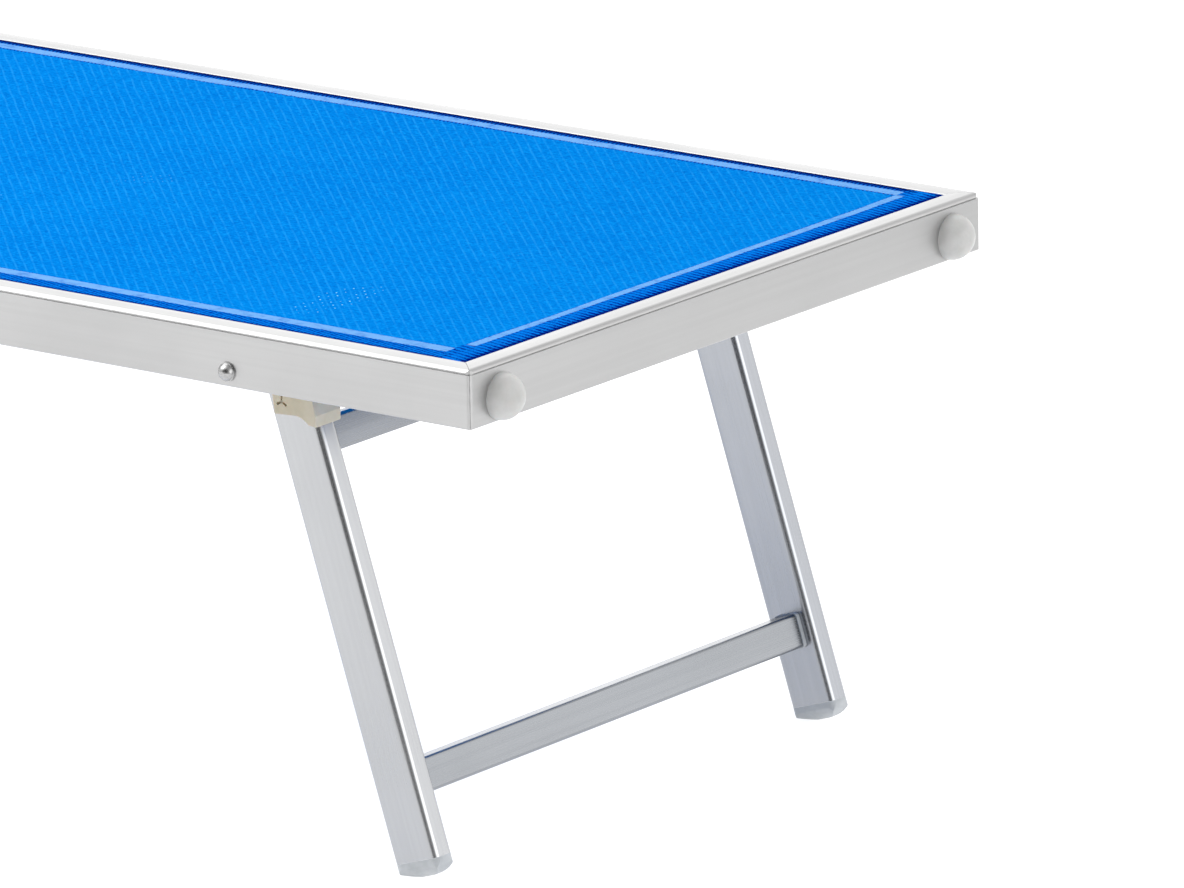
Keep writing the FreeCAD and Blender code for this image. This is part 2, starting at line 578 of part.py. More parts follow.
def backrest():
    for word, side in SIDES:
        back_rail(word, side)
    between = "Sizes.bed_width - 4*Sizes.rail_width - 2*Sizes.back_gap"
    for name, distance in (("backrest_lower_bar", "back_bar_low"), ("backrest_top_bar", "back_bar_top")):
        tube = cross_tube(name, between)
        keep(across(tube, -size(distance), 0, size("bar_lift"), 1, raised()), name)
    bushes, caps, pins, washers, rods = [], [], [], [], []
    centre_y = (BACK_OUTER + BACK_INNER) / 2
    height, above, wall = size("back_rail_height"), size("hinge_above_base"), size("rail_wall")
    rod_y = BACK_INNER + size("channel_inset")
    for _, side in SIDES:
        bush = ring("bush", "Sizes.bush_radius", PIN_HOLE, "Sizes.rail_width")
        bushes.append(across(bush, 0, side * centre_y, 0, side, raised()))
        cap = new_body("back_cap")
        face = new_sketch(cap, "YZ_Plane")
        outline(face, [(-9, 2), (-7, 0), (7, 0), (9, 2), (9, height - 3), (0, height - 0.5, "via"),
                       (-9, height - 3)])
        pad(cap, face, "Sizes.back_cap", symmetric=False, downwards=True)
        spigot = new_sketch(cap, "YZ_Plane")
        half, gap = size("rail_width") / 2 - wall - size("plug_gap"), size("plug_gap")
        ceiling = height - 2 * size("bead_height") - gap
        outline(spigot, [(-half, wall + gap), (half, wall + gap), (half, ceiling), (-half, ceiling)])
        pad(cap, spigot, "Sizes.plug_length", symmetric=False)
        caps.append(place(cap, Vector(-size("back_length"), side * centre_y, -above), inside=raised()))
        shank = size("rail_width") + size("prop_gap") + size("prop_thick") + size("face_gap")
        pin = headed_pin("prop_pin", shank, "prop_pin", "prop_pin", "face_gap")
        pin_y = side * (BACK_OUTER - size("face_gap") / 2)
        pins.append(across(pin, -size("prop_pivot"), pin_y, 0, side, raised()))
        washer = ring("prop_washer", "Sizes.prop_small_end", "Sizes.prop_pin + Sizes.run_gap",
                      "Sizes.prop_gap - Sizes.face_gap")
        washer_y = side * (BACK_INNER - (size("prop_gap") - size("face_gap")) / 2)
        washers.append(across(washer, -size("prop_pivot"), washer_y, 0, side, raised()))
        rod_start, rod_end = size("back_rod_start"), size("back_length") - size("back_rod_spare")
        middle = Vector(-(rod_start + rod_end) / 2, side * rod_y,
                        height - size("channel_drop") - above)
        rods.append(place(edge_rod(rod_end - rod_start), middle, Y_AXIS, 90, raised()))
    group("backrest_bushes", bushes)
    group("backrest_end_caps", caps)
    group("prop_pivot_pins", pins)
    group("prop_pivot_washers", washers)
    group("backrest_edge_rods", rods)


def hinge_hardware():
    """Backrest hinge pins with their spacers, and the seat's cross tube with plugs and screws."""
    pins, spacers, plugs, screws = [], [], [], []
    shank = HALF_WIDTH - BACK_INNER + size("face_gap")
    spacer = size("back_gap") - size("face_gap")
    seat_z = HINGE.z + size("bar_lift")
    for _, side in SIDES:
        pins.append(across(headed_pin("hinge_pin", shank), HINGE.x, side * HALF_WIDTH, HINGE.z, side))
        piece = ring("spacer", "Sizes.round_bar", PIN_HOLE, "Sizes.back_gap - Sizes.face_gap")
        spacers.append(across(piece, HINGE.x, side * (RAIL_INNER - spacer / 2), HINGE.z, side))
        plug = ring("tube_plug", "Sizes.round_bar - Sizes.round_wall - Sizes.plug_gap",
                    SCREW_HOLE, "Sizes.plug_length")
        plug_y = side * (RAIL_INNER - size("plug_length") / 2)
        plugs.append(across(plug, SEAT_BAR_X, plug_y, seat_z, side))
        screw = new_body("tube_screw")
        sketch = new_sketch(screw, "XZ_Plane")
        head, shaft, dome = size("tube_screw_head"), size("screw_radius"), size("tube_screw_dome")
        length = size("rail_width") + size("tube_screw_reach")
        outline(sketch, [(0, dome), (0.8 * head, 0.73 * dome, "via"), (head, 0), (shaft, 0),
                         (shaft, 1 - length), (shaft - 1, -length), (0, -length)])
        revolve(screw, sketch)
        screws.append(across(screw, SEAT_BAR_X, side * HALF_WIDTH, seat_z, side))
    group("backrest_hinge_pins", pins)
    group("backrest_spacers", spacers)
    group("cross_tube_plugs", plugs)
    group("cross_tube_screws", screws)
    tube = cross_tube("seat_cross_tube", "Sizes.bed_width - 2*Sizes.rail_width")
    keep(across(tube, SEAT_BAR_X, 0, seat_z, 1), "seat_cross_tube")


# ---- prop and racks -------------------------------------------------------------
# The prop is as long as its pivot is from the hinge, so its bar stays level with the hinge.

def notch_distance(angle):
    """How far behind the hinge the prop's bar lies when the backrest is at an angle."""
    return 2 * size("prop_pivot") * math.cos(math.radians(angle))


def back_prop():
    angle = math.radians(BACK_ANGLE)
    reach = size("prop_pivot")
    pivot = HINGE + Vector(-reach * math.cos(angle), 0, reach * math.sin(angle))
    leaning = Placement(pivot, Rotation(Y_AXIS, -BACK_ANGLE))
    small, large = size("prop_small_end"), size("prop_large_end")
    sleeves = []
    for word, side in SIDES:
        body = new_body("prop_arm_" + word)
        face = new_sketch(body, "XZ_Plane")
        outline(face, [(0, small), (-reach, large), (-reach - large, 0, "via"), (-reach, -large),
                       (0, -small), (small, 0, "via")])
        pad(body, face, "Sizes.prop_thick")
        bores = new_sketch(body, "XZ_Plane")
        circle(bores, 0, 0, "Sizes.prop_pin + Sizes.run_gap")
        circle(bores, -reach, 0, "Sizes.prop_bar")
        cut_through(body, bores)
        place(body, Vector(0, side * (PROP_OUTER - size("prop_thick") / 2), 0), inside=leaning)
        keep(body, "prop_arm_" + word)
        sleeve = ring("sleeve", "Sizes.sleeve_radius", "Sizes.prop_bar + Sizes.run_gap",
                      "Sizes.sleeve_length")
        sleeve_y = PROP_OUTER - size("prop_thick") - size("sleeve_length") / 2
        sleeves.append(across(sleeve, -reach, side * sleeve_y, 0, side, leaning))
    bar = ring("prop_bar", "Sizes.prop_bar", "Sizes.prop_bar - Sizes.round_wall",
               "Sizes.bed_width - 4*Sizes.rail_width - 2*Sizes.back_gap - 2*Sizes.prop_gap")
    keep(across(bar, -reach, 0, 0, 1, leaning), "prop_bar")
    group("prop_bar_sleeves", sleeves)


def racks():
    """Toothed racks on the side rails, one notch for each place of the backrest."""
    notches = sorted(-notch_distance(angle) for angle in (20, 30, 40, 50, 60, 70))
    base, top, notch = size("rack_base"), size("rack_top"), size("notch_radius")
    tail, nose = notches[0] - size("rack_margin"), notches[-1] + size("rack_margin")
    inner, thick = size("rack_wall_inner"), size("rack_wall")
    screws = []
    for word, side in SIDES:
        body = new_body("backrest_rack_" + word)
        teeth = new_sketch(body, "XZ_Plane", -side * (inner + thick / 2))
        points = [(nose, base), (tail, base), (tail, top)]
        for x in notches:
            points += [(x - notch, top), (x, top - notch, "via"), (x + notch, top)]
        outline(teeth, points + [(nose, top)])
        pad(body, teeth, "Sizes.rack_wall")
        shelf = new_sketch(body, "XZ_Plane", -side * (inner + RAIL_INNER) / 2)
        outline(shelf, [(nose, base), (tail, base), (tail, base + size("rack_shelf")),
                        (nose, base + size("rack_shelf"))])
        pad(body, shelf, "Sizes.bed_width/2 - Sizes.rail_width - Sizes.rack_wall_inner")
        flange = new_sketch(body, "XZ_Plane", -side * (RAIL_INNER - size("rack_flange") / 2))
        outline(flange, [(nose, base), (tail, base), (tail, size("rack_flange_top")),
                         (nose, size("rack_flange_top"))])
        pad(body, flange, "Sizes.rack_flange")
        bores = new_sketch(body, "XZ_Plane", -side * (RAIL_INNER - size("rack_flange") / 2))
        screw_z = size("rack_screw_rise")
        for x in (tail + size("rack_screw_inset"), nose - size("rack_screw_inset")):
            circle(bores, x, screw_z, SCREW_HOLE)
            screw = new_body("rack_screw")
            profile = new_sketch(screw, "XZ_Plane")
            head, shaft, dome = size("screw_head"), size("screw_radius"), size("screw_dome")
            length = size("rack_flange") + size("rack_screw_reach")
            outline(profile, [(0, dome), (head, 0.6 * dome), (head, 0), (shaft, 0), (shaft, 1 - length),
                              (shaft - 1, -length), (0, -length)])
            revolve(screw, profile)
            spot_y = side * (RAIL_INNER - size("rack_flange"))
            screws.append(across(screw, HINGE.x + x, spot_y, RAIL_BASE + screw_z, -side))
        hole = body.newObject("PartDesign::Pocket", body.Name + "_bore")
        hole.Profile = bores
        hole.SideType = "Symmetric"
        hole.setExpression("Length", "Sizes.rack_flange + 2")
        place(body, Vector(HINGE.x, 0, RAIL_BASE))
        keep(body, "backrest_rack_" + word)
    group("rack_screws", screws)


# ---- fabric -----------------------------------------------------------------------

def edge_rod(length):
    """Rod that holds the fabric's edge in a rail's channel, along Z."""
    rod = doc.addObject("Part::Cylinder", "rod")
    rod.setExpression("Radius", "Sizes.rod_radius")
    rod.Height = length
    half = Placement(Vector(0, 0, -length / 2), Rotation())
    holder = doc.addObject("Part::Compound", "rod_holder")
    rod.Placement = half
    holder.Links = [rod]
    return holder


def fabrics():
    inner_x = HALF_LENGTH - size("rail_width")
    level = size("rail_height") - size("mouth_floor") + size("fabric_gap")
    seat_start = SEAT_BAR_X - size("round_bar")
    seat = doc.addObject("Part::Box", "seat_fabric")
    seat.Length = inner_x - size("fabric_gap") - seat_start
    seat.setExpression("Width", "Sizes.bed_width - 2*Sizes.rail_width - 2*Sizes.fabric_gap")
    seat.setExpression("Height", "Sizes.fabric_thick")
    corner_y = size("fabric_gap") - RAIL_INNER
    keep(place(seat, Vector(seat_start, corner_y, RAIL_BASE + level)), "seat_fabric")
    back = doc.addObject("Part::Box", "backrest_fabric")
    start, end = size("back_bar_top") + size("round_bar"), size("back_bar_low") - size("round_bar")
    back.Length = start - end
    back.setExpression("Width", "Sizes.bed_width - 4*Sizes.rail_width - 2*Sizes.back_gap"
                       " - 2*Sizes.fabric_gap")
    back.setExpression("Height", "Sizes.fabric_thick")
    level_back = (size("back_rail_height") - size("mouth_floor") + size("fabric_gap")
                  - size("hinge_above_base"))
    keep(place(back, Vector(-start, size("fabric_gap") - BACK_INNER, level_back), inside=raised()),
         "backrest_fabric")
    rods = []
    inset = size("channel_inset")
    rod_z = RAIL_BASE + size("rail_height") - size("channel_drop")
    side_length = inner_x - SEAT_BAR_X
    for _, side in SIDES:
        spot = Vector(SEAT_BAR_X + side_length / 2, side * (RAIL_INNER + inset), rod_z)
        rods.append(place(edge_rod(side_length), spot, Y_AXIS, 90))
    rods.append(place(edge_rod(2 * RAIL_INNER), Vector(inner_x + inset, 0, rod_z), X_AXIS, 90))
    group("seat_edge_rods", rods)


def write_parts():
    doc.recompute()
    for item in doc.Objects:
        if "Invalid" in item.State or "Error" in item.State:
            raise RuntimeError("failed feature: %s (%s)" % (item.Label, item.Name))
    os.makedirs("parts", exist_ok=True)
    for item in subparts:
        if item.Shape.isNull() or not item.Shape.isValid() or item.Shape.Volume <= 0:
            raise RuntimeError("bad shape: " + item.Label)
        item.Shape.exportStep("parts/%s.step" % item.Label)
        print("%-28s %2d solids %12.1f mm3" % (item.Label, len(item.Shape.Solids), item.Shape.Volume))


bed_rails()
corner_keys()
end_bumpers()
leg_pivots()
for end_name, end_sign, leg_pivot_x in ENDS:
    for side_name, side_sign in SIDES:
        hinge_block(end_name, end_sign, leg_pivot_x, side_name, side_sign)
    leg_frame(end_name, end_sign, leg_pivot_x)
hinge_hardware()
racks()
backrest()
back_prop()
fabrics()
write_parts()
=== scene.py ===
"""Looks of the folding sunbed: cloths with borders and stitching, materials, light and camera."""
import math

import bmesh
import bpy
from mathutils import Matrix, Vector, noise


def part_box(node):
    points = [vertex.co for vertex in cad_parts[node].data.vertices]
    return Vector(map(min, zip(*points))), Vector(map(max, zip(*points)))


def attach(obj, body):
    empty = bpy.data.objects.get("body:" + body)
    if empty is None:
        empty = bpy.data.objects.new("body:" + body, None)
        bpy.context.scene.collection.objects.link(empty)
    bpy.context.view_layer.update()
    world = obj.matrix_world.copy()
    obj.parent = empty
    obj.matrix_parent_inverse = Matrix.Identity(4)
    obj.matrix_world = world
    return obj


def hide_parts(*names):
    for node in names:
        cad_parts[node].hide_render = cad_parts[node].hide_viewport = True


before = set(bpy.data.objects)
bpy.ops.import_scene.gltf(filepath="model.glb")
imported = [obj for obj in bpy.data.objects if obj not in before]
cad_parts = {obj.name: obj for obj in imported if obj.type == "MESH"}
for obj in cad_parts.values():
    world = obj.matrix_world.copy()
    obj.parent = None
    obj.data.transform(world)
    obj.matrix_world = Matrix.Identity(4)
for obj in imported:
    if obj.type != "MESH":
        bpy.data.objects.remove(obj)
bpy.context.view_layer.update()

MM = 0.001
BACK_LEAN = math.radians(40.0)  # the backrest's slope at rest
LEG_LEAN = math.radians(17.8)


def middle(node):
    low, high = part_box(node)
    return (low + high) / 2


# ---------------------------------------------------------------- materials
class Finish:
    """A node material with one Principled shader, built by short calls."""

    def __init__(self, name, turn=0.0, **constants):
        self.material = bpy.data.materials.new(name)
        self.material.use_nodes = True
        self.tree = self.material.node_tree
        self.tree.nodes.clear()
        output = self.tree.nodes.new("ShaderNodeOutputMaterial")
        self.shader = self.tree.nodes.new("ShaderNodeBsdfPrincipled")
        self.tree.links.new(self.shader.outputs[0], output.inputs[0])
        for socket, value in constants.items():
            self.shader.inputs[socket.replace("_", " ")].default_value = value
        self.place = self.node("ShaderNodeTexCoord").outputs["Object"]
        if turn:
            self.place = self.node(
                "ShaderNodeVectorRotate",
                {"Vector": self.place, "Angle": turn},
                rotation_type="Y_AXIS",
            ).outputs[0]

    def node(self, kind, inputs=None, **settings):
        made = self.tree.nodes.new(kind)
        for name, value in settings.items():
            setattr(made, name, value)
        for name, value in (inputs or {}).items():
            self.put(made.inputs[name], value)
        return made

    def put(self, socket, value):
        if isinstance(value, bpy.types.NodeSocket):
            self.tree.links.new(value, socket)
        else:
            socket.default_value = value

    def calc(self, operation, a, b=0.0, c=0.0):
        return self.node("ShaderNodeMath", {0: a, 1: b, 2: c}, operation=operation).outputs[0]

    def span(self, value, low, high, to_low=0.0, to_high=1.0):
        inputs = {"Value": value, "From Min": low, "From Max": high, "To Min": to_low, "To Max": to_high}
        return self.node("ShaderNodeMapRange", inputs, interpolation_type="SMOOTHSTEP").outputs[0]

    def mix(self, factor, a, b):
        made = self.node("ShaderNodeMix", data_type="RGBA")
        for index, value in ((0, factor), (6, a), (7, b)):
            self.put(made.inputs[index], value)
        return made.outputs[2]

    def scaled(self, scale, turn_z=0.0):
        return self.node(
            "ShaderNodeMapping", {"Vector": self.place, "Scale": scale, "Rotation": (0, 0, turn_z)}
        ).outputs[0]

    def grain(self, scale, detail=2.0, rough=0.5, where=None):
        """Noise, stretched where the three scales differ. The scales are per metre."""
        where = where or self.scaled(scale if hasattr(scale, "__len__") else (scale,) * 3)
        return self.node(
            "ShaderNodeTexNoise", {"Vector": where, "Scale": 1.0, "Detail": detail, "Roughness": rough}
        ).outputs[0]

    def edge(self, radius, low=0.02, high=0.25):
        """1 along sharp edges, 0 on flat faces."""
        bevel = self.node("ShaderNodeBevel", {"Radius": radius}, samples=4).outputs[0]
        flat = self.node("ShaderNodeNewGeometry").outputs["Normal"]
        dot = self.node("ShaderNodeVectorMath", {0: bevel, 1: flat}, operation="DOT_PRODUCT").outputs["Value"]
        return self.span(dot, 1.0 - low, 1.0 - high)

    def xyz(self):
        split = self.node("ShaderNodeSeparateXYZ", {0: self.place})
        return split.outputs

    def colour(self, value):
        self.put(self.shader.inputs["Base Color"], value)

    def rough(self, value):
        self.put(self.shader.inputs["Roughness"], value)

    def bump(self, height, distance, strength=1.0, after=None):
        inputs = {"Height": height, "Distance": distance, "Strength": strength}
        if after is not None:
            inputs["Normal"] = after
        made = self.node("ShaderNodeBump", inputs).outputs[0]
        self.put(self.shader.inputs["Normal"], made)
        return made


def grey(value, warm=0.0):
    return (value + warm, value, value - warm, 1.0)


def aluminium(name, tone, shine, along, turn=0.0, tint=(0, 0, 0)):
    """Satin anodised extrusion: fine draw lines along it, a soft cloudy tone, worn and paler edges."""
    made = Finish(name, turn, Metallic=1.0)
    fine, coarse = [1500.0] * 3, [260.0] * 3
    fine[along], coarse[along] = 7.0, 2.5
    lines = made.grain(fine, 3.0, 0.6)
    bands = made.grain(coarse, 2.0, 0.5)
    cloud = made.grain(9.0, 3.0, 0.55)
    speck = made.grain(2600.0, 1.0, 0.5)
    edge = made.edge(1.1 * MM)
    wear = made.calc("MULTIPLY", edge, made.span(made.grain(120.0, 4.0, 0.6), 0.42, 0.62))

    def tone_of(level):
        return tuple(level + t for t in tint) + (1.0,)

    body = made.mix(made.span(bands, 0.3, 0.7), tone_of(tone - 0.012), tone_of(tone + 0.012))
    body = made.mix(made.span(lines, 0.35, 0.75, 0.0, 0.4), body, tone_of(tone + 0.02))
    body = made.mix(made.span(cloud, 0.35, 0.7, 0.0, 0.35), body, tone_of(tone - 0.03))
    made.colour(made.mix(made.calc("MULTIPLY", wear, 0.7), body, grey(min(tone + 0.14, 0.95))))
    drawn = made.span(lines, 0.3, 0.7, shine - 0.03, shine + 0.03)
    rough = made.calc("ADD", drawn, made.span(speck, 0.3, 0.7, -0.02, 0.03))
    rough = made.calc("ADD", rough, made.span(cloud, 0.3, 0.7, -0.02, 0.03))
    made.rough(made.calc("SUBTRACT", rough, made.calc("MULTIPLY", wear, 0.08)))
    first = made.bump(lines, 0.00002, 0.3)
    made.bump(speck, 0.00001, 0.25, first)
    return made.material


def chrome(name, tone=0.72, shine=0.16):
    """Polished steel with turning marks and faint handling scratches."""
    made = Finish(name, Metallic=1.0)
    cloud = made.grain(300.0, 3.0, 0.6)
    scratch = made.span(made.grain((120.0, 2200.0, 900.0), 3.0, 0.6), 0.6, 0.72)
    edge = made.edge(0.5 * MM)
    body = made.mix(made.span(cloud, 0.35, 0.7), grey(tone - 0.05), grey(tone + 0.03))
    body = made.mix(scratch, body, grey(tone - 0.14))
    made.colour(made.mix(made.calc("MULTIPLY", edge, 0.5), body, grey(0.9)))
    polish = made.span(cloud, 0.3, 0.7, shine, shine + 0.1)
    made.rough(made.calc("ADD", polish, made.calc("MULTIPLY", scratch, 0.15)))
    made.bump(scratch, 0.00002, 0.5)
    return made.material


def moulded(name, low, high, shine=0.42, skin=0.02, waxy=0.0):
    """Injection-moulded plastic: a fine spark-eroded skin, soft cloudiness and paler rubbed edges."""
    made = Finish(name, Specular_IOR_Level=0.4, Subsurface_Weight=waxy, Subsurface_Scale=0.004)
    skin_grain = made.grain(2200.0, 2.0, 0.6)
    cloud = made.grain(55.0, 4.0, 0.6)
    flow = made.grain((30.0, 160.0, 160.0), 2.0, 0.5)
    edge = made.edge(0.8 * MM)
    body = made.mix(made.span(cloud, 0.3, 0.7), low, high)
    body = made.mix(made.span(flow, 0.45, 0.75, 0.0, 0.3), body, low)
    pale = tuple(min(c * 1.12 + 0.02, 1.0) for c in high[:3]) + (1.0,)
    made.colour(made.mix(made.calc("MULTIPLY", edge, 0.55), body, pale))
    sparked = made.span(skin_grain, 0.3, 0.7, shine - 0.05, shine + 0.06)
    made.rough(made.calc("ADD", sparked, made.span(cloud, 0.3, 0.7, -0.03, 0.04)))
    made.bump(skin_grain, skin * MM, 0.6)
    return made.material


YARN = 1.7 * MM
TWILL = 6.6 * MM  # from one pale diagonal line to the next
BLUE = (0.0006, 0.190, 0.63, 1.0)
BLUE_DEEP = (0.0005, 0.172, 0.60, 1.0)
BLUE_DARK = (0.0003, 0.125, 0.49, 1.0)
BLUE_LIGHT = (0.003, 0.245, 0.70, 1.0)
BLUE_LINE = (0.016, 0.290, 0.74, 1.0)
HEM_DARK, HEM_BLUE = (0.0004, 0.018, 0.25, 1.0), (0.0010, 0.150, 0.64, 1.0)
HEM_FLECK, HEM_PIT = (0.002, 0.235, 0.74, 1.0), (0.0006, 0.03, 0.28, 1.0)
# painted shade where the border goes into the rail's slot
HEM_SLOT_SHADE = (0.0005, 0.006, 0.14, 1.0)
STRIPE_BLUE = (0.150, 0.36, 0.72, 1.0)
PINHOLE_LIGHT = (0.30, 0.80, 0.93, 1.0)
PINHOLE_PITCH = 1.9 * TWILL
WORN_MIDDLE, WORN_REACH = (733 * MM, -190 * MM), (20 * MM, 50 * MM)  # where the mesh lets light through


def weave(made, yarn=YARN):
    """Height of a two-by-two twill of round coated yarns, from 0 to 1."""
    x, y, _ = made.xyz()
    warp = made.calc("ABSOLUTE", made.calc("SINE", made.calc("MULTIPLY", y, math.pi / yarn)))
    weft = made.calc("ABSOLUTE", made.calc("SINE", made.calc("MULTIPLY", x, math.pi / yarn)))
    step = made.calc("SINE", made.calc("MULTIPLY", made.calc("ADD", x, y), math.pi / (2 * yarn)))
    over = made.span(step, -0.25, 0.25)
    height = made.node("ShaderNodeMix", {0: over, 2: warp, 3: weft}, data_type="FLOAT").outputs[0]
    return height


def cloth(name):
    """Coated polyester mesh: twill yarns, thin pale diagonal lines and a few pinholes of light."""
    made = Finish(name, Specular_IOR_Level=0.0, Roughness=0.75)
    x, y, _ = made.xyz()
    height = weave(made)
    drift = made.span(made.grain(26.0, 2.0, 0.5), 0.2, 0.8, -0.5 * MM, 0.5 * MM)
    diagonal = made.calc("ADD", made.calc("MULTIPLY", made.calc("ADD", x, y), math.sqrt(0.5)), drift)
    ridge = made.calc("COSINE", made.calc("MULTIPLY", diagonal, 2 * math.pi / TWILL))
    patchy = made.span(made.grain(60.0, 3.0, 0.65), 0.35, 0.62, 0.25, 1.0)
    lines = made.calc("MULTIPLY", made.span(ridge, 0.55, 1.0), patchy)
    flecks = made.grain((330.0, 430.0, 40.0), 2.0, 0.6)
    threads = made.grain((30.0, 800.0, 10.0), 2.0, 0.5)
    cloud = made.grain(5.0, 2.0, 0.5)
    body = made.mix(made.span(cloud, 0.3, 0.7), BLUE_DEEP, BLUE)
    body = made.mix(made.span(flecks, 0.50, 0.70, 0.0, 0.95), body, BLUE_LIGHT)
    body = made.mix(made.span(flecks, 0.30, 0.48, 0.8, 0.0), body, BLUE_DARK)
    body = made.mix(made.span(threads, 0.55, 0.75, 0.0, 0.35), body, BLUE_LIGHT)
    body = made.mix(made.calc("MULTIPLY", lines, 0.5), body, BLUE_LINE)
    # pinholes: short bright gaps between the twill lines, only in a few patches
    counter = made.calc("SUBTRACT", x, y)
    across = made.calc("SINE", made.calc("MULTIPLY", counter, 2 * math.pi / PINHOLE_PITCH))
    hole = made.calc("MULTIPLY", made.span(ridge, -0.8, -1.0), made.span(across, 0.55, 0.95))
    patch = made.span(made.grain((4.2, 9.0, 1.0), 1.0, 0.4), 0.75, 0.81)
    from_worn = [
        made.calc("MULTIPLY", made.calc("SUBTRACT", v, centre), 1.0 / reach)
        for v, centre, reach in zip((x, y), WORN_MIDDLE, WORN_REACH)
    ]
    square = made.calc("MULTIPLY", from_worn[1], from_worn[1])
    apart = made.calc("MULTIPLY_ADD", from_worn[0], from_worn[0], square)
    patch = made.calc("MAXIMUM", patch, made.span(apart, 0.5, 1.1, 1.0, 0.0))
    patch = made.calc("MULTIPLY", patch, made.span(made.grain(260.0, 2.0, 0.6), 0.42, 0.58))
    open_mesh = made.calc("MULTIPLY", made.calc("MULTIPLY", hole, patch), 0.9)
    body = made.mix(open_mesh, body, PINHOLE_LIGHT)
    made.colour(body)
    made.rough(made.span(height, 0.0, 1.0, 0.85, 0.68))
    first = made.bump(height, 0.0003, 0.5)
    made.bump(lines, 0.0002, 0.5, first)
    return made.material


def border(name, across, stripe, run, rib, lean=0.0):
    """The doubled border of a cloth: coarse cross ribs, a pale welded stripe, and a dark line at the rail,
    which is painted shade where the cloth goes into the rail's slot.
    across is 0 where the border is crossed along X and 1 along Y. stripe is (near, far, end) of the pale
    band and of the border, as distances from the cloth's middle line or from the origin, in metres.
    run is where the pale band starts and stops along the border."""
    made = Finish(name, Specular_IOR_Level=0.0, Roughness=0.7)
    x, y, _ = made.xyz()
    over, along = (x, y) if across == 0 else (made.calc("ABSOLUTE", y), x)
    wobble = made.span(made.grain(9.0, 2.0, 0.5), 0.2, 0.8, -0.8 * MM, 0.8 * MM)
    ragged = made.span(made.grain(420.0, 3.0, 0.7), 0.2, 0.8, -0.7 * MM, 0.7 * MM)
    place = made.calc("ADD", over, made.calc("ADD", wobble, ragged))
    near, far, end = stripe
    pale = made.calc(
        "MULTIPLY",
        made.span(place, near - 0.4 * MM, near + 0.4 * MM),
        made.span(place, far - 0.4 * MM, far + 0.4 * MM, 1.0, 0.0),
    )
    for stop, beyond in zip(run, (-STRIPE_TAPER, STRIPE_TAPER)):
        pale = made.calc("MULTIPLY", pale, made.span(along, stop, stop + beyond, 1.0, 0.0))
    patchy = made.span(made.grain((90.0, 90.0, 10.0), 3.0, 0.6), 0.25, 0.55, 0.55, 1.0)
    phase = made.calc("ADD", along, made.calc("MULTIPLY", over, lean))
    phase = made.calc("ADD", phase, made.span(made.grain(160.0, 2.0, 0.5), 0.2, 0.8, -0.5 * MM, 0.5 * MM))
    wave = made.calc("COSINE", made.calc("MULTIPLY", phase, 2 * math.pi / rib))
    ribs = made.calc("MULTIPLY_ADD", wave, 0.5, 0.5)
    fleck = made.grain(700.0, 3.0, 0.7)
    body = made.mix(made.span(ribs, 0.1, 0.7), HEM_DARK, HEM_BLUE)
    body = made.mix(made.span(fleck, 0.5, 0.66, 0.0, 0.7), body, HEM_FLECK)
    body = made.mix(made.span(fleck, 0.30, 0.44, 0.6, 0.0), body, HEM_PIT)
    # painted shade: darker towards the rail's slot, and deeper between the ribs
    near_rail = made.span(over, end - 9.0 * MM, end - 3.0 * MM)
    slot_shade = made.calc("SUBTRACT", near_rail, made.calc("MULTIPLY", ribs, 0.45))
    body = made.mix(made.span(slot_shade, 0.0, 0.8), body, HEM_SLOT_SHADE)
    made.colour(made.mix(made.calc("MULTIPLY", pale, patchy), body, STRIPE_BLUE))
    made.rough(made.span(fleck, 0.3, 0.7, 0.6, 0.85))
    height = weave(made, 2.2 * MM)
    first = made.bump(height, 0.0003, 0.7)
    made.bump(fleck, 0.0003, 0.6, first)
    return made.material


def thread(name):
    """Twisted sewing thread."""
    made = Finish(name, Specular_IOR_Level=0.2, Roughness=0.6)
    twist = made.grain((900.0, 1500.0, 900.0), 2.0, 0.6)
    made.colour(made.mix(made.span(twist, 0.3, 0.7), (0.03, 0.16, 0.55, 1.0), (0.10, 0.34, 0.85, 1.0)))
    made.rough(made.span(twist, 0.3, 0.7, 0.5, 0.75))
    made.bump(twist, 0.0001, 0.8)
    return made.material


X, Y, Z = range(3)
RAIL_X = aluminium("rail_along", 0.49, 0.36, X)
RAIL_Y = aluminium("rail_across", 0.49, 0.36, Y)
LEG_FOOT = aluminium("leg_foot", 0.45, 0.22, Z, turn=LEG_LEAN, tint=(-0.006, 0.0, 0.012))
# The far foot leg is the same aluminium as the near one, made darker and bluer: painted shade under the bed
# and painted blue light from the cloth.
LEG_FAR_SHADED = aluminium("leg_foot_far_shaded", 0.385, 0.22, Z, turn=LEG_LEAN, tint=(-0.012, 0.0, 0.024))
LEG_HEAD = aluminium("leg_head", 0.44, 0.22, Z, turn=-LEG_LEAN, tint=(-0.006, 0.0, 0.012))
# The crossbars are the legs' aluminium made darker and a little bluer: painted shade under the bed and
# painted blue light from the cloth.
BAR = aluminium("crossbar", 0.32, 0.26, Y, tint=(-0.012, 0.0, 0.018))
BACK_RAIL = aluminium("backrest_rail", 0.49, 0.36, X, turn=-BACK_LEAN)
TUBE = aluminium("round_tube", 0.55, 0.28, Y)
RACK = aluminium("rack", 0.55, 0.36, X)
CHROME = chrome("bright_steel", 0.44, 0.24)
CREAM = moulded("cream_nylon", (0.54, 0.49, 0.37, 1), (0.62, 0.57, 0.46, 1), 0.38, 0.02, 0.12)
WHITE = moulded("white_plastic", (0.47, 0.47, 0.46, 1), (0.55, 0.55, 0.545, 1), 0.36, 0.015, 0.05)
GREY = moulded("grey_plastic", (0.38, 0.40, 0.42, 1), (0.49, 0.51, 0.53, 1), 0.45, 0.03)
ROD = moulded("edge_rod", (0.05, 0.13, 0.45, 1), (0.09, 0.2, 0.6, 1), 0.5)
CLOTH = cloth("blue_mesh")
THREAD = thread("blue_thread")

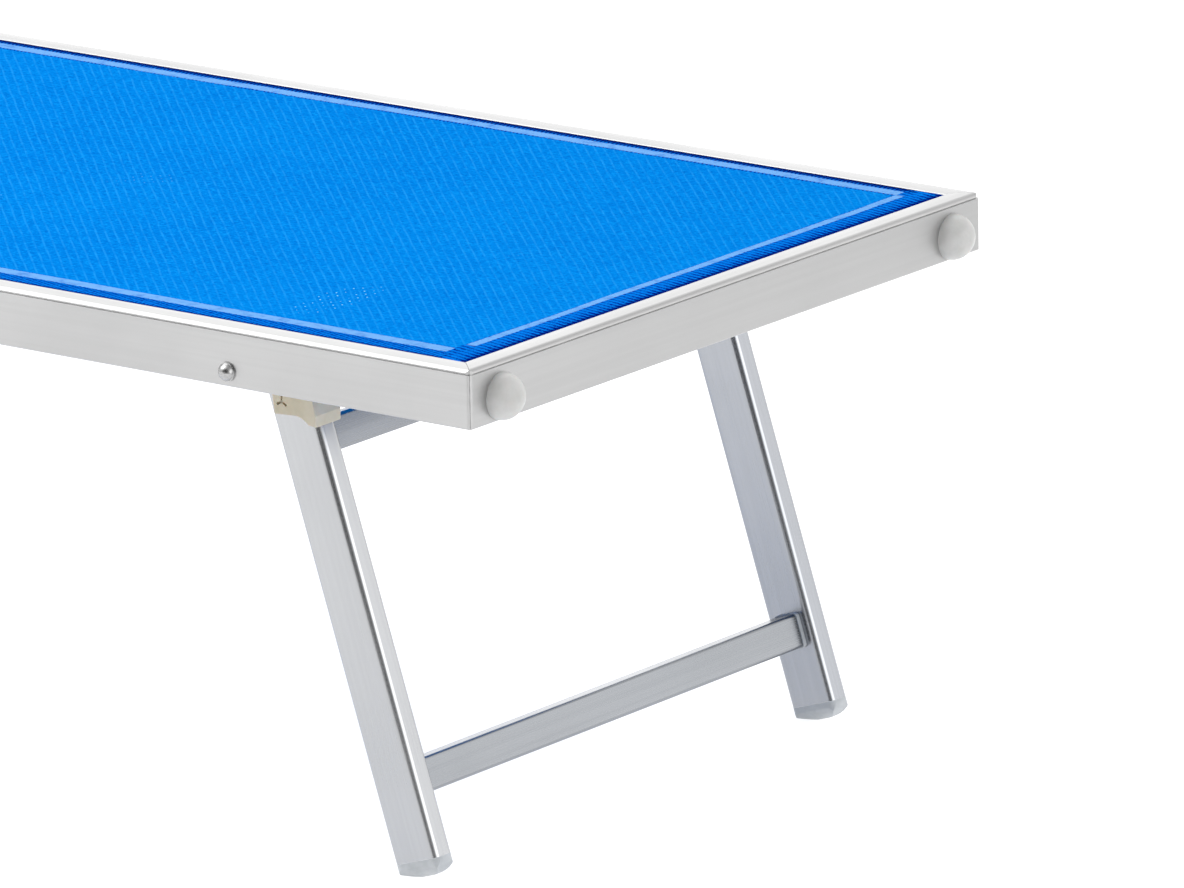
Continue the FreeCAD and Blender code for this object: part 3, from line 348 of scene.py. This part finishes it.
NODE_FINISH = {
    "side_rail_left": RAIL_X, "side_rail_right": RAIL_X,
    "foot_end_rail": RAIL_Y, "head_end_rail": RAIL_Y,
    "corner_keys": GREY, "end_bumpers": WHITE,
    "leg_pivot_rivets": CHROME, "leg_pivot_washers": CHROME,
    "hinge_block_foot_left": CREAM, "hinge_block_foot_right": CREAM,
    "hinge_block_head_left": CREAM, "hinge_block_head_right": CREAM,
    "backrest_hinge_pins": CHROME, "backrest_spacers": CREAM,
    "cross_tube_plugs": GREY, "cross_tube_screws": CHROME,
    "seat_cross_tube": TUBE, "backrest_rack_left": RACK, "backrest_rack_right": RACK,
    "rack_screws": CHROME, "seat_edge_rods": ROD,
    "leg_tube_foot_left": LEG_FOOT, "leg_tube_foot_right": LEG_FAR_SHADED,
    "leg_tube_head_left": LEG_HEAD, "leg_tube_head_right": LEG_HEAD,
    "leg_caps_foot": GREY, "leg_caps_head": GREY,
    "crossbar_upper_foot": BAR, "crossbar_lower_foot": BAR,
    "crossbar_upper_head": BAR, "crossbar_lower_head": BAR,
    "crossbar_collars_foot": GREY, "crossbar_collars_head": GREY,
    "backrest_rail_left": BACK_RAIL, "backrest_rail_right": BACK_RAIL,
    "backrest_lower_bar": TUBE, "backrest_top_bar": TUBE,
    "backrest_bushes": CREAM, "backrest_end_caps": GREY,
    "prop_pivot_pins": CHROME, "prop_pivot_washers": CHROME,
    "backrest_edge_rods": ROD,
    "prop_arm_left": RACK, "prop_arm_right": RACK,
    "prop_bar": CHROME, "prop_bar_sleeves": GREY,
}
for node, finish in NODE_FINISH.items():
    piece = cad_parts[node]
    piece.data.materials.clear()
    piece.data.materials.append(finish)


# ---------------------------------------------------------------- making meshes
def object_from(name, points, faces, finish, smooth=True, matrix=None):
    mesh = bpy.data.meshes.new(name)
    mesh.from_pydata([tuple(p) for p in points], [], faces)
    mesh.validate()
    shell = bmesh.new()
    shell.from_mesh(mesh)
    bmesh.ops.recalc_face_normals(shell, faces=shell.faces)
    shell.to_mesh(mesh)
    shell.free()
    for face in mesh.polygons:
        face.use_smooth = smooth
    mesh.materials.append(finish)
    made = bpy.data.objects.new(name, mesh)
    bpy.context.scene.collection.objects.link(made)
    if matrix is not None:
        made.matrix_world = matrix
    return made


def grid_faces(rows, columns, first=0):
    return [
        (first + r * columns + c, first + r * columns + c + 1,
         first + (r + 1) * columns + c + 1, first + (r + 1) * columns + c)
        for r in range(rows - 1) for c in range(columns - 1)
    ]


def slab(name, top, bottom, finish, matrix=None):
    """A thin closed sheet from two grids of points, as lists of rows of the same size."""
    rows, columns = len(top), len(top[0])
    points = [p for row in top for p in row] + [p for row in bottom for p in row]
    under = rows * columns
    faces = grid_faces(rows, columns)
    faces += [tuple(reversed(f)) for f in grid_faces(rows, columns, under)]
    rim = list(range(columns))
    rim += [r * columns + columns - 1 for r in range(1, rows)]
    rim += [(rows - 1) * columns + c for c in range(columns - 2, -1, -1)]
    rim += [r * columns for r in range(rows - 2, 0, -1)]
    for a, b in zip(rim, rim[1:] + rim[:1]):
        faces.append((b, a, a + under, b + under))
    return object_from(name, points, faces, finish, matrix=matrix)


def evenly(low, high, step):
    count = max(1, round(abs(high - low) / step))
    return [low + (high - low) * i / count for i in range(count + 1)]


def smooth_step(value, low, high):
    t = min(1.0, max(0.0, (value - low) / (high - low)))
    return t * t * (3 - 2 * t)


def pocket(bar_x, bar_z, radius, side, hem_x, under_z, tail):
    """The sheet's centre line round a bar: from its top, round it on one side and back under the sheet.
    side is -1 where it goes round on the -X side. hem_x is where it meets the sheet again."""
    away = side * (bar_x - hem_x)
    rise = under_z - bar_z
    start = math.atan2(rise, away)
    touch = start - math.acos(radius / math.hypot(away, rise))
    end = touch + 2 * math.pi
    points = []
    for angle in evenly(math.pi / 2, end, math.radians(12)):
        points.append((bar_x - side * radius * math.cos(angle), bar_z + radius * math.sin(angle)))
    low = points[-1]
    steps = 5
    for i in range(1, steps + 1):
        t = i / steps
        points.append((low[0] + (hem_x - low[0]) * t, low[1] + (under_z - low[1]) * t))
    for i in range(1, 4):
        points.append((hem_x - side * tail * i / 3, under_z))
    return points


def sheet_from_profile(name, profile, half_at, ripple, thick, finish, matrix=None, across_step=7 * MM):
    """A thin sheet swept across its width along a centre line of (x, z) points."""
    top, bottom = [], []
    for i, (x, z) in enumerate(profile):
        before, after = profile[max(0, i - 1)], profile[min(len(profile) - 1, i + 1)]
        tangent = Vector((after[0] - before[0], 0, after[1] - before[1])).normalized()
        normal = Vector((-tangent.z, 0, tangent.x))
        if i == 0:
            up = normal
        if normal.dot(up) < 0:
            normal = -normal
        up = normal
        half = half_at(i, x)
        count = round(2 * 0.28 / across_step)
        upper, lower = [], []
        for c in range(count + 1):
            y = half * (2 * c / count - 1)
            centre = Vector((x, y, z + ripple(i, x, y)))
            upper.append(centre + normal * thick / 2)
            lower.append(centre - normal * thick / 2)
        top.append(upper)
        bottom.append(lower)
    return slab(name, top, bottom, finish, matrix)


CLOTH_THICK = 0.9 * MM
SEAM_GAP = 0.15 * MM


def ripples(low_x, high_x, half, seed, height=0.7 * MM, sag=1.2 * MM):
    """Slight unevenness of the stretched cloth, fading to nothing at its edges."""
    def at(x, y):
        edge = smooth_step(half - abs(y), 0, 60 * MM)
        edge *= smooth_step(x - low_x, 0, 60 * MM) * smooth_step(high_x - x, 0, 60 * MM)
        wave = noise.noise(Vector((x * 6.5, y * 9.0, seed)))
        wave += 0.5 * noise.noise(Vector((x * 19.0, y * 16.0, seed + 7)))
        return edge * (height * wave - sag * (1 - (y / half) ** 2))
    return at


# ---------------------------------------------------------------- seat cloth
SEAT_LOW, SEAT_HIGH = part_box("seat_fabric")
TUBE_LOW, TUBE_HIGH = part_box("seat_cross_tube")
TUBE_MID = (TUBE_LOW + TUBE_HIGH) / 2
TUBE_R = (TUBE_HIGH.z - TUBE_LOW.z) / 2
ROD_REACH = 3.9 * MM  # how far a cloth edge goes into a rail's slot
WRAP_R = TUBE_R + 0.1 * MM + CLOTH_THICK / 2
SEAT_Z = (SEAT_LOW.z + SEAT_HIGH.z) / 2
POCKET = 38 * MM  # from a bar's centre to the seam of its pocket

seat_profile = []
start_x = SEAT_HIGH.x + ROD_REACH
for x in evenly(start_x, TUBE_MID.x + 8 * MM, 8 * MM):
    drop = smooth_step(x, TUBE_MID.x, TUBE_MID.x + 50 * MM)
    seat_profile.append((x, TUBE_MID.z + WRAP_R + drop * (SEAT_Z - TUBE_MID.z - WRAP_R)))
seat_main = len(seat_profile)
seat_under = SEAT_Z - CLOTH_THICK - SEAM_GAP - 0.3 * MM
seat_profile += pocket(TUBE_MID.x, TUBE_MID.z, WRAP_R, -1, TUBE_MID.x + POCKET, seat_under, 7 * MM)
SEAT_HALF = SEAT_HIGH.y + ROD_REACH
seat_wave = ripples(TUBE_MID.x, SEAT_HIGH.x, SEAT_HIGH.y, 3.0)


def seat_half_at(i, x):
    inside = SEAT_HIGH.y - 1.2 * MM
    if i >= seat_main:
        return inside
    return inside + (SEAT_HALF - inside) * smooth_step(x, TUBE_MID.x + 4 * MM, TUBE_MID.x + 24 * MM)


seat_cloth = sheet_from_profile(
    "seat_cloth", seat_profile, seat_half_at,
    lambda i, x, y: seat_wave(x, y) if i < seat_main else 0.0, CLOTH_THICK, CLOTH,
)
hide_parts("seat_fabric")


def rib_height(position, pitch, seed):
    uneven = 0.35 * noise.noise(Vector((position * 300, seed, 0)))
    return 0.5 + 0.5 * math.cos(2 * math.pi * position / pitch) + uneven


def border_strip(name, line, spread, place, rise, finish, pitch, ribs_from, ribs_to, seed,
                 matrix=None, rib=0.5 * MM):
    """A ribbed strip on the cloth. line are the positions along it, spread the ones across it, from the
    inside out. place(along, across) is (x, y), and rise(x, y) the cloth's top there."""
    top, bottom = [], []
    for across in spread:
        upper, lower = [], []
        band = smooth_step(across, ribs_from, ribs_from + 3 * MM)
        band *= 1 - smooth_step(across, ribs_to - 3 * MM, ribs_to)
        inner = smooth_step(across, spread[0], spread[0] + 1.5 * MM)
        for along in line:
            x, y = place(along, across)
            base = rise(x, y) + 0.05 * MM
            height = 0.35 * MM * inner + rib * band * rib_height(along, pitch, seed)
            upper.append((x, y, base + height))
            lower.append((x, y, base - 0.25 * MM))
        top.append(upper)
        bottom.append(lower)
    return slab(name, top, bottom, finish, matrix)


# pale stripe (inner, outer edge) and border end, as distances from the middle line or along X
STRIPE_TAPER = 5 * MM
FOOT_RUN = (-238 * MM, 262 * MM)
SIDE_RUN = (-1000 * MM, 890 * MM)
FOOT_STRIPE = (886.3 * MM, 893.6 * MM, 917.0 * MM)
SIDE_STRIPE = {"left": (252.5 * MM, 263.5 * MM, 282.0 * MM), "right": (264.5 * MM, 275.0 * MM, 282.0 * MM)}
FOOT_RIB, SIDE_RIB = 5.2 * MM, 3.6 * MM


def cloth_top(x, y):
    drop = smooth_step(x, TUBE_MID.x, TUBE_MID.x + 50 * MM)
    z = TUBE_MID.z + WRAP_R + drop * (SEAT_Z - TUBE_MID.z - WRAP_R)
    return z + seat_wave(x, y) + CLOTH_THICK / 2


seat_borders = []
foot_border = border_strip(
    "seat_border_foot",
    evenly(-SEAT_HALF + 0.3 * MM, SEAT_HALF - 0.3 * MM, FOOT_RIB / 6),
    evenly(FOOT_STRIPE[0] - 1.5 * MM, SEAT_HIGH.x + 2.5 * MM, 1.5 * MM),
    lambda along, across: (across, along),
    cloth_top,
    border("border_foot", 0, FOOT_STRIPE, FOOT_RUN, FOOT_RIB, 0.25),
    FOOT_RIB, FOOT_STRIPE[1] + 0.5 * MM, SEAT_HIGH.x, 1.0,
)
seat_borders.append(foot_border)
for side, sign in (("left", -1), ("right", 1)):
    stripe = SIDE_STRIPE[side]
    seat_borders.append(border_strip(
        "seat_border_" + side,
        evenly(TUBE_MID.x + 20 * MM, FOOT_STRIPE[0] + 6 * MM, SIDE_RIB / 4),
        evenly(stripe[0] - 1.5 * MM, SEAT_HIGH.y + 2.5 * MM, 1.5 * MM),
        lambda along, across, sign=sign: (along, sign * across),
        lambda x, y: cloth_top(x, y) - 0.04 * MM,
        border("border_" + side, 1, stripe, SIDE_RUN, SIDE_RIB, 0.1),
        SIDE_RIB, stripe[1] + 0.5 * MM, SEAT_HIGH.y, 2.0 + sign, rib=0.35 * MM,
    ))


# ---------------------------------------------------------------- backrest cloth
pin_mid = middle("backrest_hinge_pins")
BACK_FRAME = Matrix.Translation((pin_mid.x, 0, pin_mid.z)) @ Matrix.Rotation(BACK_LEAN, 4, "Y")
TO_BACK = BACK_FRAME.inverted()


def local_of(point):
    return TO_BACK @ Vector((point.x, 0, point.z))


LOW_BAR, TOP_BAR = local_of(middle("backrest_lower_bar")), local_of(middle("backrest_top_bar"))
BAR_R = (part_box("backrest_top_bar")[1].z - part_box("backrest_top_bar")[0].z) / 2
BACK_WRAP = BAR_R + 0.1 * MM + CLOTH_THICK / 2
BACK_Z = LOW_BAR.z + BAR_R + 0.9 * MM
BACK_HALF_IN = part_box("backrest_fabric")[1].y
BACK_HALF = BACK_HALF_IN + ROD_REACH
back_under = BACK_Z - CLOTH_THICK - SEAM_GAP - 0.3 * MM
upper_pocket = pocket(TOP_BAR.x, TOP_BAR.z, BACK_WRAP, -1, TOP_BAR.x + POCKET, back_under, 7 * MM)
lower_pocket = pocket(LOW_BAR.x, LOW_BAR.z, BACK_WRAP, 1, LOW_BAR.x - POCKET, back_under, 7 * MM)


def back_mid_z(x):
    near = min(abs(x - TOP_BAR.x), abs(x - LOW_BAR.x))
    crest = TOP_BAR.z + BACK_WRAP
    return crest + smooth_step(near, 0, 40 * MM) * (BACK_Z - crest)


back_profile = list(reversed(upper_pocket))
back_first = len(back_profile)
back_profile += [(x, back_mid_z(x)) for x in evenly(TOP_BAR.x + 8 * MM, LOW_BAR.x - 8 * MM, 8 * MM)]
back_last = len(back_profile)
back_profile += lower_pocket
back_wave = ripples(TOP_BAR.x, LOW_BAR.x, BACK_HALF_IN, 11.0)


def back_half_at(i, x):
    inside = BACK_HALF_IN - 0.9 * MM
    if not back_first <= i < back_last:
        return inside
    near = min(x - TOP_BAR.x, LOW_BAR.x - x)
    return inside + (BACK_HALF - inside) * smooth_step(near, 8 * MM, 24 * MM)


back_cloth = sheet_from_profile(
    "backrest_cloth", back_profile, back_half_at,
    lambda i, x, y: back_wave(x, y) if back_first <= i < back_last else 0.0,
    CLOTH_THICK, CLOTH, BACK_FRAME,
)
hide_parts("backrest_fabric")

back_borders = []
for side, sign in (("left", -1), ("right", 1)):
    stripe = tuple(v - (SEAT_HIGH.y - BACK_HALF_IN) for v in SIDE_STRIPE[side])
    back_borders.append(border_strip(
        "backrest_border_" + side,
        evenly(TOP_BAR.x + 20 * MM, LOW_BAR.x - 20 * MM, SIDE_RIB / 4),
        evenly(stripe[0] - 1.5 * MM, BACK_HALF_IN + 2.5 * MM, 1.5 * MM),
        lambda along, across, sign=sign: (along, sign * across),
        lambda x, y: back_mid_z(x) + back_wave(x, y) + CLOTH_THICK / 2 - 0.04 * MM,
        border("border_back_" + side, 1, stripe, SIDE_RUN, SIDE_RIB, 0.1),
        SIDE_RIB, stripe[1] + 0.5 * MM, BACK_HALF_IN, 5.0 + sign, BACK_FRAME, rib=0.35 * MM,
    ))


# ---------------------------------------------------------------- stitching
def stitches(name, xs, half, height_at, matrix=None, pitch=3.2 * MM, length=2.3 * MM, wide=0.32 * MM):
    """Rows of lock stitches across the cloth, each a small rounded bar of thread."""
    points, faces = [], []
    rings = ((-0.5, 0.25), (-0.36, 0.9), (0.0, 1.0), (0.36, 0.9), (0.5, 0.25))
    sides = 6
    for x in xs:
        for y in evenly(-half, half, pitch):
            slant = 0.12 * noise.noise(Vector((x * 50, y * 800, 4.0)))
            base = len(points)
            for along, size in rings:
                crown = 0.1 * MM * (1 - abs(2 * along))
                for k in range(sides):
                    turn = 2 * math.pi * k / sides
                    points.append((
                        x + slant * along * length + wide * size * math.cos(turn),
                        y + along * length,
                        height_at(x, y) + wide * 0.8 * size * math.sin(turn) + crown,
                    ))
            for r in range(len(rings) - 1):
                for k in range(sides):
                    a, b = base + r * sides + k, base + r * sides + (k + 1) % sides
                    faces.append((a, b, b + sides, a + sides))
            faces.append(tuple(base + k for k in range(sides)))
            faces.append(tuple(base + (len(rings) - 1) * sides + k for k in reversed(range(sides))))
    return object_from(name, points, faces, THREAD, matrix=matrix)


NEAR_ROW, FAR_ROW = POCKET + 1 * MM, POCKET + 5 * MM  # from a bar's centre
seat_seam = stitches(
    "seat_stitching", (TUBE_MID.x + NEAR_ROW, TUBE_MID.x + FAR_ROW), SEAT_HIGH.y - 4 * MM, cloth_top,
)
back_seam = stitches(
    "backrest_stitching",
    (TOP_BAR.x + NEAR_ROW, TOP_BAR.x + FAR_ROW, LOW_BAR.x - FAR_ROW, LOW_BAR.x - NEAR_ROW),
    BACK_HALF_IN - 4 * MM,
    lambda x, y: back_mid_z(x) + back_wave(x, y) + CLOTH_THICK / 2,
    BACK_FRAME,
)

for piece in [seat_cloth, seat_seam] + seat_borders:
    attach(piece, "bed_frame")
for piece in [back_cloth, back_seam] + back_borders:
    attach(piece, "backrest")


# ---------------------------------------------------------------- floor, light and camera
FLOOR_GLOW = 0.84
RIGHTWARD = (0.794, 0.607)  # the camera's right along the floor, for where the glow fades
FADE_FROM, FADE_TO = 1.75, 2.5  # metres that way from the origin


def floor_finish():
    """A white sweep that glows a little, and less beyond the far end on the right."""
    made = Finish("studio_floor", Specular_IOR_Level=0.05, Roughness=0.9, Emission_Color=grey(1.0))
    x, y, _ = made.xyz()
    beyond = made.calc("MULTIPLY_ADD", x, RIGHTWARD[0], made.calc("MULTIPLY", y, RIGHTWARD[1]))
    glow = made.span(beyond, FADE_FROM, FADE_TO, FLOOR_GLOW, 0.6 * FLOOR_GLOW)
    made.put(made.shader.inputs["Emission Strength"], glow)
    soft = made.grain(1.5, 2.0, 0.5)
    made.colour(made.mix(made.span(soft, 0.3, 0.7), grey(0.39), grey(0.41)))
    return made.material


FLOOR_HALF = 30.0
floor_corners = [(x * FLOOR_HALF, y * FLOOR_HALF, 0) for x, y in ((-1, -1), (1, -1), (1, 1), (-1, 1))]
floor = object_from("floor", floor_corners, [(0, 1, 2, 3)], floor_finish(), smooth=False)

scene = bpy.context.scene
scene.view_settings.view_transform = "Standard"
scene.view_settings.look = "None"

world = bpy.data.worlds.new("studio")
scene.world = world
world.use_nodes = True
sky = world.node_tree
sky.nodes.clear()
sky_out = sky.nodes.new("ShaderNodeOutputWorld")
sky_light = sky.nodes.new("ShaderNodeBackground")
sky.links.new(sky_light.outputs[0], sky_out.inputs[0])
sky_light.inputs["Color"].default_value = (1.0, 1.0, 1.0, 1.0)
sky_way = sky.nodes.new("ShaderNodeTexCoord").outputs["Generated"]


def sky_card(towards, inner, outer, amount):
    """A soft round patch of extra light, or less where amount is negative, in that direction, in degrees."""
    dot = sky.nodes.new("ShaderNodeVectorMath")
    dot.operation = "DOT_PRODUCT"
    sky.links.new(sky_way, dot.inputs[0])
    dot.inputs[1].default_value = Vector(towards).normalized()
    ramp = sky.nodes.new("ShaderNodeMapRange")
    ramp.interpolation_type = "SMOOTHSTEP"
    sky.links.new(dot.outputs["Value"], ramp.inputs["Value"])
    ramp.inputs["From Min"].default_value = math.cos(math.radians(outer))
    ramp.inputs["From Max"].default_value = math.cos(math.radians(inner))
    ramp.inputs["To Max"].default_value = amount
    return ramp.outputs[0]


total = None
for card in (
    ((-0.50, -0.40, 0.77), 20, 50, 0.9),  # overhead softbox, on the left
    ((-0.60, 0.75, 0.12), 30, 75, 1.10),  # bright backdrop behind the head end
    ((0.85, 0.45, 0.10), 20, 60, 0.95),  # and to the right
    ((0.10, -1.00, 0.15), 20, 60, -0.55),  # the dark room behind the camera
    ((0.26, 0.77, 0.70), 10, 40, -0.35),
    ((0.97, -0.05, 0.22), 8, 26, 1.5),  # narrow strip that lights the legs' rounded corners
):
    patch = sky_card(*card)
    if total is None:
        total = patch
    else:
        both = sky.nodes.new("ShaderNodeMath")
        both.operation = "ADD"
        sky.links.new(total, both.inputs[0])
        sky.links.new(patch, both.inputs[1])
        total = both.outputs[0]
lift = sky.nodes.new("ShaderNodeMath")
lift.operation = "ADD"
lift.inputs[1].default_value = 0.60
sky.links.new(total, lift.inputs[0])
sky.links.new(lift.outputs[0], sky_light.inputs["Strength"])


def softbox(name, place, target, width, height, watts):
    light = bpy.data.lights.new(name, "AREA")
    light.shape, light.size, light.size_y, light.energy = "RECTANGLE", width, height, watts
    lamp = bpy.data.objects.new(name, light)
    lamp.location = place
    lamp.rotation_euler = (Vector(place) - Vector(target)).to_track_quat("Z", "Y").to_euler()
    scene.collection.objects.link(lamp)
    return lamp


softbox("overhead_left", (-1.3, -1.6, 2.9), (0.0, -0.1, 0.2), 2.2, 2.2, 62.0)


def dark_flag():
    """A matt dark card beside the camera. Only polished metal sees it, as dark lines on rounded edges."""
    low, high, front, tall = -0.4, 2.0, -3.3, 3.0
    points = [(low, front, 0.0), (high, front, 0.0), (high, front, tall), (low, front, tall)]
    finish = Finish("dark_card", Roughness=0.9)
    finish.colour(finish.mix(finish.grain(8.0), grey(0.015), grey(0.02)))
    card = object_from("dark_card", points, [(0, 1, 2, 3)], finish.material, smooth=False)
    card.visible_camera = card.visible_diffuse = card.visible_shadow = False


dark_flag()

AZIMUTH, ELEVATION, ROLL = (math.radians(a) for a in (37.41, 15.16, -1.0))
DISTANCE = 8.866
backward = Vector((
    math.sin(AZIMUTH) * math.cos(ELEVATION), -math.cos(AZIMUTH) * math.cos(ELEVATION), math.sin(ELEVATION),
))
level = Vector((math.cos(AZIMUTH), math.sin(AZIMUTH), 0))
upward = backward.cross(level)
right = level * math.cos(ROLL) + upward * math.sin(ROLL)
above = -level * math.sin(ROLL) + upward * math.cos(ROLL)
end_low, end_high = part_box("foot_end_rail")
near_corner = Vector((end_high.x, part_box("side_rail_left")[0].y, end_low.z))
AIM_RIGHT, AIM_DOWN = 0.0829, 0.0090  # metres from the near corner to the middle of the picture
aim = near_corner + right * AIM_RIGHT - above * AIM_DOWN
camera = bpy.data.cameras.new("camera")
camera.lens = 394.4
camera.sensor_width = 36.0
camera.clip_start, camera.clip_end = 0.1, 200.0
camera_object = bpy.data.objects.new("camera", camera)
camera_object.matrix_world = Matrix((right, above, backward)).transposed().to_4x4()
camera_object.location = aim + backward * DISTANCE
scene.collection.objects.link(camera_object)
scene.camera = camera_object
